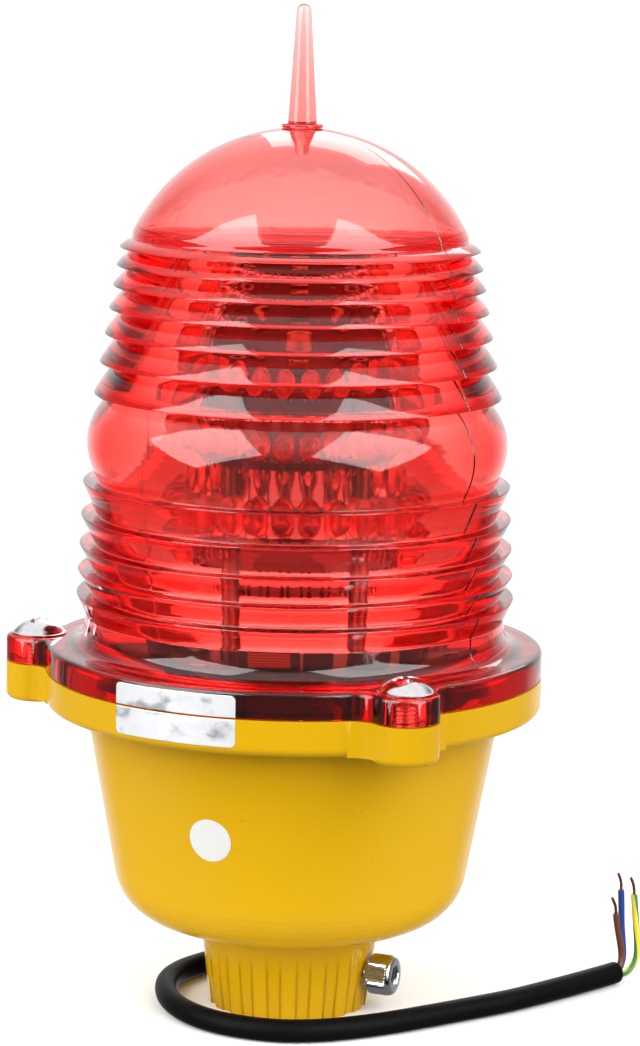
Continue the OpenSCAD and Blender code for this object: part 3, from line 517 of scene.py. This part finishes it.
def circle_tree():
    """Geometry nodes that set a part on a circle of points, each copy turned to look outwards."""
    tree = bpy.data.node_groups.new("parts_on_a_circle", "GeometryNodeTree")
    sockets = {}
    for name, kind, way in (
        ("Part", "NodeSocketObject", "INPUT"), ("Count", "NodeSocketInt", "INPUT"),
        ("Radius", "NodeSocketFloat", "INPUT"), ("Height", "NodeSocketFloat", "INPUT"),
        ("Turn", "NodeSocketFloat", "INPUT"), ("Finish", "NodeSocketMaterial", "INPUT"),
        ("Geometry", "NodeSocketGeometry", "OUTPUT"),
    ):
        sockets[name] = tree.interface.new_socket(name, in_out=way, socket_type=kind).identifier

    def add(kind, links, **settings):
        node = tree.nodes.new(kind)
        for key, value in settings.items():
            setattr(node, key, value)
        for key, value in links.items():
            if isinstance(value, bpy.types.NodeSocket):
                tree.links.new(value, node.inputs[key])
            else:
                node.inputs[key].default_value = value
        return node

    given = add("NodeGroupInput", {}).outputs
    circle = add("GeometryNodeMeshCircle", {"Vertices": given["Count"], "Radius": given["Radius"]})
    step = add("ShaderNodeMath", {0: 2 * math.pi, 1: given["Count"]}, operation="DIVIDE")
    angle = add("ShaderNodeMath", {0: add("GeometryNodeInputIndex", {}).outputs[0], 1: step.outputs[0]},
                operation="MULTIPLY")
    spin = add("ShaderNodeCombineXYZ", {"Z": angle.outputs[0]})
    part = add("GeometryNodeObjectInfo", {"Object": given["Part"]})
    copies = add("GeometryNodeInstanceOnPoints", {
        "Points": circle.outputs[0], "Instance": part.outputs["Geometry"], "Rotation": spin.outputs[0]})
    up = add("ShaderNodeCombineXYZ", {"Z": given["Height"]})
    turn = add("ShaderNodeCombineXYZ", {"Z": given["Turn"]})
    placed = add("GeometryNodeTransform", {
        "Geometry": copies.outputs[0], "Translation": up.outputs[0], "Rotation": turn.outputs[0]})
    real = add("GeometryNodeRealizeInstances", {"Geometry": placed.outputs[0]})
    painted = add("GeometryNodeSetMaterial", {"Geometry": real.outputs[0], "Material": given["Finish"]})
    add("NodeGroupOutput", {"Geometry": painted.outputs[0]})
    return tree, sockets


parts_on_a_circle, circle_sockets = circle_tree()


def set_round(name, part, finish, count, radius, height, turn):
    """One piece of copies of a part on a circle: radius and height in millimetres, turn in degrees."""
    piece = bpy.data.objects.new(name, bpy.data.meshes.new(name))
    bpy.context.collection.objects.link(piece)
    grown = piece.modifiers.new("copies", "NODES")
    grown.node_group = parts_on_a_circle
    for key, value in (
        ("Part", part), ("Count", count), ("Radius", radius * 0.001), ("Height", height * 0.001),
        ("Turn", math.radians(turn)), ("Finish", finish.material),
    ):
        grown[circle_sockets[key]] = value
    made = bpy.data.meshes.new_from_object(piece.evaluated_get(bpy.context.evaluated_depsgraph_get()))
    piece.modifiers.clear()
    piece.data = made
    made.name = name
    return piece


epoxy = mottled("diode_epoxy", (500, 2), ((255, 178, 158), (255, 140, 116)), (0.06, 0.1),
                ior=1.53, transmission_weight=0.8)
tinned = mottled("tinned_leg", (1600, 3), ((226, 224, 218), (178, 174, 166)), (0.2, 0.2), metallic=1.0)

led_r, rim_r, nose = 3.0, 3.4, 5.7
led_profile = [(pole_r, 0), (3.1, 0), (rim_r, 0.25), (rim_r, 0.85), (3.15, 1.1), (led_r, 1.25), (led_r, nose)]
tip_turns = np.radians(range(15, 91, 15))
led_profile += [(max(led_r * math.cos(a), pole_r), nose + led_r * math.sin(a)) for a in tip_turns]
led = solid("diode", *loft(spun(led_profile, 24, "X")), epoxy, 35)


def leg_skins():
    """Two bent legs, each a square wire with its solder above the board and below it."""
    leg_half, back, wire_r = 1.27, -3.2, 0.4
    for s in (-leg_half, leg_half):
        foot = np.array([back, s, 0])
        wire = [(0, s, 0), (-2.4, s, 0), (-3.1, s, -0.5), (back, s, -1.4), (back, s, -4.2), (back, s, -7.3)]
        cone = spun([(1.15, -5.8), (0.95, -6), (0.5, -6.7), (0.36, -7.2)], 10) + foot
        bead = spun([(0.95, -4.2), (0.8, -4.05), (0.4, -3.75)], 10) + foot
        yield from (sections(smooth(wire, 2), wire_r, 4, (0, 1, 0.4)), cone[::-1], bead)


legs = solid("diode_legs", *lofts(leg_skins()), tinned, 40)
for i, top in enumerate(board_tops, 1):
    ring = set_round(f"diode_ring_{i}", led, epoxy, ring_count, seat_r, top + lift, ring_turn)
    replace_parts(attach(ring, "base"), f"led_ring_{i}")
    feet = set_round(f"diode_legs_{i}", legs, tinned, ring_count, seat_r, top + lift, ring_turn)
    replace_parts(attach(feet, "base"), f"led_legs_{i}")
bpy.data.objects.remove(led)
bpy.data.objects.remove(legs)

# Ballast resistors: six small beige bodies with bulged ends and coloured bands, moulded over carbon film.
# They lie round the middle of the top board, soldered by their wires.
beige = Finish("resistor_beige", coat_weight=0.3, coat_roughness=0.2)
ring_bands = beige.noise(420, 1)
beige.shade(**{
    "Base Color": beige.mix(ring_bands > 0.58, tone(206, 178, 138), tone(120, 66, 40)),
    "Roughness": 0.35 + 0.2 * ring_bands,
})
dress("ballast_resistors", beige)

# Lens: a drum of clear red polycarbonate with ring prisms, a bullseye band, a dome and three screw ears.
# It is moulded in one piece, so the prisms' edges are slightly round and two fine seams run up it.
# The inside is plain but for a hollow behind the bullseye band.
lens_wall, flange_r, lens_z, lens_edge_z = 3.2, 79.5, 109.9, 118.4
ear_r, ear_circle_r, ear_fillet_r, ear_hole_r = 10.49, 83.0, 8.0, 4.5
ear_turns = (-66, -186, -306)
seam_turns, seam_h, seam_r = np.radians((-35.5, -215.5)), 0.22, 67
seam_steps = np.array((-0.45, -0.22, 0, 0.22, 0.45)) / seam_r


def heading(turn):
    """Where an angle points, seen from above, or each of several angles."""
    return np.stack([np.cos(turn), np.sin(turn)], -1)


def eared(inset):
    """The flange's outline with its three screw ears and their fillets, moved inwards by inset."""
    reach, span = flange_r + ear_fillet_r, ear_r + ear_fillet_r
    half = math.acos((reach**2 + ear_circle_r**2 - span**2) / (2 * reach * ear_circle_r))
    outline = []
    for a in np.radians(ear_turns[::-1]):
        ear, before, after = ear_circle_r * heading(a), reach * heading(a - half), reach * heading(a + half)
        for hub, r, start, end, way, steps in (
            (before, ear_fillet_r + inset, -before, ear - before, -1, np.arange(9) / 8),
            (ear, ear_r - inset, before - ear, after - ear, 1, np.arange(31) / 31),
            (after, ear_fillet_r + inset, ear - after, -after, -1, np.arange(1, 9) / 8),
        ):
            low, high = (math.atan2(v[1], v[0]) for v in (start, end))
            sweep = way * (way * (high - low) % (2 * math.pi))
            outline += list(hub + r * heading(low + sweep * steps))
        low, high = a + half, a + math.radians(120) - half
        seam = [t + step for t in seam_turns if low < t < high for step in seam_steps]
        outline += list((flange_r - inset) * heading(np.sort([*np.linspace(low, high, 72)[:-1], *seam])))
    return np.array(outline)


def bulged(p, q, bulge, steps):
    """Points from p towards q on a shallow bow that stands out to the right of the way."""
    p, q = np.array(p, float), np.array(q, float)
    way = q - p
    out = np.array([way[1], -way[0]]) / np.linalg.norm(way)
    return [p + t * way + 4 * bulge * t * (1 - t) * out for t in np.arange(1, steps) / steps]


def rounded(points, setback, limit=25):
    """A profile whose sharp corners are replaced by small curves."""
    points = [np.array(p, float) for p in points]
    line = [points[0]]
    for before, at, after in zip(points, points[1:], points[2:]):
        u, v = before - at, after - at
        nu, nv = np.linalg.norm(u), np.linalg.norm(v)
        turn = 180 - math.degrees(math.acos(np.clip(u @ v / (nu * nv), -1, 1)))
        if turn < limit:
            line.append(at)
            continue
        p, q = at + u / nu * min(setback, nu / 2.2), at + v / nv * min(setback, nv / 2.2)
        line += [p * (1 - t) ** 2 + 2 * at * t * (1 - t) + q * t * t for t in (0, 0.35, 0.65, 1)]
    return [*line, points[-1]]


def cone_tips(heights, first_r, last_r):
    """The prisms' tips at those heights, on one cone, as points of radius and height."""
    return list(np.column_stack([np.interp(heights, heights[[0, -1]], (first_r, last_r)), heights]))


skirt_r, skirt_top_z, skirt_fillet_r, ledge = 67.1, 128.2, 6.0, np.array([5.2, 0])
lower_h, upper_h, shrink_step, bullseye_h, band_h, dome_step = 10.5, 10.05, 0.893, 27.7, 2.8, 2
lower_hs = [lower_h * shrink_step**i for i in (4, 3, 2, 1, 0)]
upper_hs = [upper_h * shrink_step**i for i in range(6)]
upper_z = skirt_top_z + sum(lower_hs) + bullseye_h
band_z = upper_z + sum(upper_hs) + band_h
lower_tips = cone_tips(skirt_top_z + np.cumsum(lower_hs), 70.1, 68.28)
upper_tips = cone_tips(upper_z + np.cumsum([0, *upper_hs]), 65.05, 57.4)
lower_bulge, upper_bulge, bullseye_bulge, bullseye_hollow, edge_round = 0.1, 0.35, 5.4, 4.4, 0.8
dome_r, dome_foot_r, dome_wall, spike_hole_r, spike_hole_in_r = 59.0, 53.1, 2.5, 4.4, 3.4
dome_centre_z = band_z + dome_step - math.sqrt(dome_r**2 - dome_foot_r**2)


def dome_arc(r, start_r, end_r, steps):
    """Points of the dome's outer or inner face, from one distance from the axis to another."""
    turns = np.linspace(math.acos(start_r / r), math.acos(end_r / r), steps)
    return list(r * heading(turns) + (0, dome_centre_z))


outside = [(skirt_r + skirt_fillet_r * (1 - math.sin(a)), lens_edge_z + skirt_fillet_r * (1 - math.cos(a)))
           for a in np.radians(range(0, 91, 15))]
outside.append((skirt_r, skirt_top_z))
start = np.array(outside[-1])
for tip in lower_tips:
    outside += [*bulged(start, tip, lower_bulge, 3), tip, tip - ledge]
    start = tip - ledge
outside += bulged(start, upper_tips[0] - ledge, bullseye_bulge, 18) + [upper_tips[0] - ledge]
for tip, end in zip(upper_tips, [*(t - ledge for t in upper_tips[1:]), np.array([dome_foot_r, band_z])]):
    outside += [tip, *bulged(tip, end, upper_bulge, 4), end]
outside = rounded(outside + dome_arc(dome_r, dome_foot_r, spike_hole_r, 22), edge_round)
inside = dome_arc(dome_r - dome_wall, spike_hole_in_r, dome_foot_r - lens_wall, 16)
inset = ledge + (lens_wall, 0)
inside += [upper_tips[-1] - inset, upper_tips[0] - inset]
inside += bulged(upper_tips[0] - inset, lower_tips[-1] - inset, -bullseye_hollow, 14)
inside += [lower_tips[-1] - inset, lower_tips[0] - inset]
inside += [(skirt_r - lens_wall, z) for z in (skirt_top_z, lens_z)]
inside = rounded(inside, edge_round, 5)

bearing = eared(0)
turns_round = np.arctan2(bearing[:, 1], bearing[:, 0])
unit = heading(turns_round)
off_seam = np.min([np.abs((turns_round - t + math.pi) % (2 * math.pi) - math.pi) for t in seam_turns], axis=0)
ridge = seam_h * np.clip(1 - off_seam / seam_steps[-1], 0, 1)


def level(flat, z):
    """Flat points set at one height, or each at its own."""
    return np.column_stack([flat, np.full(len(flat), z)])


edge_r, foot_bevel, flange_top_r = 1.5, 0.3, 75.5
lens_rings = [level(eared(foot_bevel), lens_z), level(eared(0), lens_z + foot_bevel)]
lens_rings += [level(eared(edge_r * (1 - math.cos(a))), lens_edge_z - edge_r * (1 - math.sin(a)))
               for a in np.radians((0, 22, 45, 68, 90))]
lens_rings += [level(unit * flange_top_r, lens_edge_z)]
lens_rings += [level(unit * (r + ridge)[:, None], z) for r, z in outside]
lens_rings += [level(unit * r, z) for r, z in inside]


def red_plastic(name, density):
    """Clear red plastic with a faint ripple and haze, that stains the light all along its way through."""
    finish = Finish(name, ior=1.58, transmission_weight=1.0, base_color=(1, 0.95, 0.94))
    stain = finish.node("ShaderNodeVolumeAbsorption", {}, {"Color": (0.947, 0.075, 0.02), "Density": density})
    finish.tree.links.new(stain.socket, finish.tree.nodes["Material Output"].inputs["Volume"])
    finish.shade(Roughness=0.015 + 0.05 * finish.noise(35, 3))
    finish.bump(finish.noise(70, 2), 0.0003, 0.35)
    return finish


red = red_plastic("red_lens", 305.0)
lens_sharp = 24
lens = solid("lens_moulding", *loft(np.array(lens_rings), closed=True), red, lens_sharp)
ear_spots = [np.append(ear_circle_r * heading(a), 0) for a in np.radians(ear_turns)]
drill_rod = spun([(ear_hole_r, lens_z - 5.9), (ear_hole_r, lens_edge_z + 5.6)], 48)
drill = solid("drill", *lofts(drill_rod + spot for spot in ear_spots), red)
holes = lens.modifiers.new("ear_holes", "BOOLEAN")
holes.operation, holes.object = "DIFFERENCE", drill
drilled = bpy.data.meshes.new_from_object(lens.evaluated_get(bpy.context.evaluated_depsgraph_get()))
lens.modifiers.clear()
lens.data = drilled
drilled.shade_smooth()
drilled.set_sharp_from_angle(angle=math.radians(lens_sharp))
bpy.data.objects.remove(drill)
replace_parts(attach(lens, "lens"), "lens")

# Bird spike: a turned rod of paler red plastic, glued by its tapered root into a hole in the dome's top.
# A thin collar under it sheds the rain, and its tip is rounded.
dome_top_z = dome_centre_z + dome_r
root_r, root_z, tip_r, tip_z = 4.6, 1.35, 2.4, 36
spike_profile = [
    (pole_r, -8.5), (1.9, -8.5), (2, -8.3), (4.2, -0.3), (6.3, -0.15),
    (6.6, 0.1), (6.6, 0.75), (6.35, 1), (4.9, 1.05), (root_r, root_z),
]
spike_profile += [
    (root_r + (tip_r - root_r) * t, root_z + (tip_z - root_z) * t) for t in (0.25, 0.5, 0.75, 1)]
spike_profile += [
    (tip_r * math.cos(a) + pole_r, tip_z + tip_r * math.sin(a)) for a in np.radians((20, 40, 60, 75, 90))]
spike_points, spike_faces = loft(spun(spike_profile, 48))
pale_red = red_plastic("red_spike", 200.0)
spike = solid("spike_rod", spike_points + np.array([0, 0, dome_top_z]), spike_faces, pale_red, 35)
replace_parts(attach(spike, "lens"), "bird_spike")

# Cover screws: steel machine screws with flat round heads and cross recesses, chromium plated.
# Each goes down through a lens ear into the tapped ear of the cup.
chrome = mottled("chrome_plate", (420, 4), ((236, 236, 238), (204, 205, 208)), (0.05, 0.1), 0.00002,
                 metallic=1.0)
thread_r, thread_pitch = 4, 1.25


def threaded(length, depth, sides):
    """Rings of a threaded shank from its end up to its head, on the Z axis."""
    point, neck = 1.1, 0.1
    turn = round_steps(sides)
    unit = heading(turn)
    rings = [level(unit * (thread_r - point), 0)]
    for z in np.arange(0.6, length - 0.3, thread_pitch / 6):
        phase = (z / thread_pitch - turn / (2 * math.pi)) % 1
        rings.append(level(unit * (thread_r - depth * np.abs(2 * phase - 1))[:, None], z))
    return [*rings, level(unit * (thread_r - neck), length)]


def cross_screw():
    """Rings of the screw from its tip to the bottom of the recess, with the head's seat at height 0."""
    sides, shank, head_r, head_h, under, arm, width = 144, 16, 8.9, 4.8, 0.02, 4.2, 0.85
    turn = round_steps(sides)
    unit = heading(turn)
    cap_r = (head_r**2 + head_h**2) / (2 * head_h)

    def dome(r):
        return head_h - cap_r + np.sqrt(cap_r**2 - r**2) - under

    rings = [ring - np.array([0, 0, shank]) for ring in threaded(shank, 0.5, sides)]
    rings += [level(unit * r, z) for r, z in ((8.3, 0), (8.75, 0.12), (8.85, 0.4))]
    rings += [level(unit * r, dome(r)) for r in (8.5, 8, 7.4, 6.8, 6.1, 5.4, 4.9)]
    off_arm = (turn + math.pi / 4) % (math.pi / 2) - math.pi / 4
    for grow, sink in ((0.25, 0), (0, 0.25), (-0.18, 1.6), (-0.3, 2.5)):
        r = np.minimum((arm + grow - 0.9 * max(sink - 0.25, 0)) / np.cos(off_arm),
                       (width + grow) / np.maximum(np.abs(np.sin(off_arm)), 1e-4))
        rings.append(level(unit * r[:, None], dome(r) - sink if sink < 1 else head_h - sink))
    return np.array([*rings, level(unit * 0.05, head_h - 2.6)])


screw_points, screw_faces = loft(cross_screw())
screw_seat_z, screw_spins = 118.5, (20, 65, 40)
for n, (spot, spin) in enumerate(zip(ear_spots, screw_spins), 1):
    spun_screw = screw_points @ np.array(Matrix.Rotation(math.radians(spin), 3, "Z")).T
    screw = solid(f"ear_screw_{n}", spun_screw + spot + (0, 0, screw_seat_z), screw_faces, chrome, 35)
    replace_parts(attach(screw, f"cover_screw_{n}"), f"cover_screw_{n}")

# Lock screw: a socket cap screw of plated steel with a straight knurl round its head.
# It runs through the socket's wall and clamps the pipe, with a little thread showing under the head.


def cap_screw():
    """Rings of the screw on the Z axis from its tip, past the knurled head, to the bottom of the hexagon."""
    sides, length, head_r, teeth, key = 216, 11.6, 6.5, 36, 6.0
    turn = round_steps(sides)
    unit = heading(turn)
    tooth = np.abs((turn * teeth / (2 * math.pi)) % 1 - 0.5) * 2
    rings = threaded(length, 0.55, sides)
    rings += [level(unit * r, length + z) for r, z in ((5.6, 0), (6.05, 0.15))]
    for z, deep in ((0.5, 0.15), (0.9, 0.35), (6.3, 0.35), (6.7, 0.12)):
        rings.append(level(unit * (head_r - deep * tooth)[:, None], length + z))
    head_edge = ((6.35, 7.1), (6.1, 7.6), (5.7, 7.95), (5.4, 8), (4, 8))
    rings += [level(unit * r, length + z) for r, z in head_edge]
    hexagon = key / 2 / np.cos((turn + math.pi / 6) % (math.pi / 3) - math.pi / 6)
    for grow, z in ((0.25, 8), (0, 7.75), (0, 4.1)):
        rings.append(level(unit * (hexagon + grow)[:, None], length + z))
    return np.array([*rings, level(unit * 0.05, length + 3.4)])


lock_points, lock_faces = loft(cap_screw())
lock_turn, lock_tip_r, lock_z = math.radians(-22), 17.3, 12
lie = np.array(Matrix.Rotation(lock_turn, 3, "Z") @ Matrix.Rotation(math.radians(90), 3, "Y"))
lock_points = (lock_points + (0, 0, lock_tip_r)) @ lie.T + (0, 0, lock_z)
lock = solid("clamp_screw", lock_points, lock_faces, chrome, 32)
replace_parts(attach(lock, "lock_screw"), "lock_screw")

# Labels: a bare foil seal stuck across the joint in front and cut along it, and a white dot on the cup.
# The seal is creased metal film and the dot is coated paper, both with glue behind.
foil = Finish("foil_seal")
crease = foil.noise(160, 5)
shine = foil.ramp(foil.noise(95, 4, (1, 1, 1.6)), 0.53, 0.68)
film = foil.mix(crease, tone(232, 233, 235), tone(206, 208, 211))
foil.shade(**{
    "Base Color": foil.mix(shine, film, tone(190, 193, 198)),
    "Metallic": 0.3 + 0.5 * shine,
    "Roughness": 0.2 + 0.25 * crease,
})
foil.bump(crease, 0.0003, 0.8)
paper = mottled("white_dot", (900, 4), ((206, 206, 205), (194, 194, 192)), (0.45, 0.2),
                coat_weight=0.2, coat_roughness=0.3)


def seal(name, low_z, high_z, body, round_low):
    """A plate of foil wrapped on the flange, with its two free corners rounded."""
    left, right, corner, cut, seal_r, crown_r = -42.6, -12.5, 1.6, 0.15, flange_r + 0.1, flange_r + 0.14
    mid, half_h = (low_z + high_z) / 2, (high_z - low_z) / 2
    half_w = math.radians(right - left) / 2 * seal_r
    outline = []
    corners = ((half_w, -half_h, -90), (half_w, half_h, 0), (-half_w, half_h, 90), (-half_w, -half_h, 180))
    for x, y, start in corners:
        r = corner if (y < 0) == round_low else cut
        hub_x, hub_y = x - math.copysign(r, x), y - math.copysign(r, y)
        for t in np.radians(np.linspace(start, start + 90, 7)):
            outline.append((hub_x + r * math.cos(t), hub_y + r * math.sin(t)))
    rim = []
    for (x0, y0), (x1, y1) in zip(outline, outline[1:] + outline[:1]):
        count = max(1, int(abs(x1 - x0) / 1.2))
        rim += [(x0 + (x1 - x0) * t, y0 + (y1 - y0) * t) for t in np.arange(count) / count]
    rim = np.array(rim)
    rings = []
    for share, r in ((1, flange_r), (1, seal_r), *((s, crown_r) for s in np.linspace(0.985, 0.002, 18))):
        a = math.radians((left + right) / 2 - 90) + rim[:, 0] * share / seal_r
        rings.append(level(r * heading(a), mid + rim[:, 1] * share))
    piece = solid(name, *loft(np.array(rings)), foil, 40)
    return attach(piece, body)


seal("seal_upper", 110.15, 116.82, "lens", False)
seal("seal_lower", 100.9, 109.5, "base", True)

dot_turn, dot_z, dot_r, dot_t = math.radians(-24.1 - 90), 66.6, 7.0, 0.12
cup_top_r, cup_top_z, draft = 66.7, 98.4, math.radians(10.2)
rings = []
for share, off in ((1, 0), (1, 0.08), (0.97, dot_t), (0.6, dot_t), (0.3, dot_t), (0.004, dot_t)):
    across, up = (dot_r * share * heading(round_steps(48))).T
    z = dot_z + up * math.cos(draft)
    wall = cup_top_r - (cup_top_z - z) * math.tan(draft)
    a = dot_turn + across / (cup_top_r - (cup_top_z - dot_z) * math.tan(draft))
    rings.append(level((wall + off)[:, None] * heading(a), z))
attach(solid("white_dot", *loft(np.array(rings)), paper, 40), "base")

# Studio: a flat white floor that ends just in front of the lamp, on white ground all round.
# Two square soft boxes hang in front, broad light comes from behind and above, and a lamp lights the edges.
# The front is dim for what mirrors it, so that the red stays deep, and the floor isn't mirrored.
floor_finish = Finish("white_floor", roughness=0.9, specular_ior_level=0.1)
mottle = floor_finish.noise(3, 2)
floor_finish.shade(**{"Base Color": floor_finish.mix(mottle, (0.83, 0.83, 0.83), (0.86, 0.86, 0.86))})
reach, front = 60000.0, -110.0
floor_corners = [(-reach, front, 0), (reach, front, 0), (reach, reach, 0), (-reach, reach, 0)]
floor = solid("floor", floor_corners, [(0, 1, 2, 3)], floor_finish)
floor.visible_glossy = False


class Sky(Finish):
    """The studio's light, told by the direction that it comes from."""

    def __init__(self, name):
        self.world = bpy.data.worlds.new(name)
        self.world.use_nodes = True
        self.tree = self.world.node_tree
        self.shader = self.tree.nodes["Background"]
        self.place = self.node("ShaderNodeTexCoord", out="Generated")

    def box(self, turn, rise, wide, high):
        """A soft box hung by a corner, turned and raised from the front, with half sizes as tangents."""
        hang = Matrix.Rotation(math.radians(turn), 3, "Z") @ Matrix.Rotation(math.radians(-rise), 3, "X")
        dot = {"operation": "DOT_PRODUCT"}
        across, away, up = (
            self.node("ShaderNodeVectorMath", dot, {0: self.place, 1: tuple(side)}, "Value")
            for side in (hang.col[0], -hang.col[1], hang.col[2])
        )
        return (away > 0) * (abs(across / away) / wide + abs(up / away) / high < 1)


sky = Sky("white_sky")
back, up = sky.split(sky.place, "YZ")
behind, above = sky.ramp(back, 0.62, 0.97), sky.ramp(up, 0.35, 0.8, 0.0, 0.95)
seen, passed = (sky.node("ShaderNodeLightPath", out=f"Is {way} Ray") for way in ("Camera", "Transmission"))
ground_light, through_light, dim_light, box_light, box_rise, box_size = 1.12, 1.03, 0.18, 5.0, 27, (0.67, 0.7)
boxes = box_light * (sky.box(-56, box_rise, *box_size) + sky.box(45, box_rise, *box_size))
sky.shade(Color=(1, 1, 1), Strength=(
    ground_light * seen + through_light * passed
    + (1 - seen - passed) * (dim_light + behind + above) + (1 - seen) * boxes))
bpy.context.scene.world = sky.world
rim = bpy.data.lights.new("rim_lamp", "AREA")
rim.size, rim.energy = 1.2, 12
rim_lamp = bpy.data.objects.new("rim_lamp", rim)
rim_spot, rim_aim = Vector((0.3, 1.8, 1.5)), Vector((0, 0, 0.2))
rim_lamp.matrix_world = (
    Matrix.Translation(rim_spot) @ (rim_aim - rim_spot).to_track_quat("-Z", "Y").to_matrix().to_4x4())
bpy.context.collection.objects.link(rim_lamp)
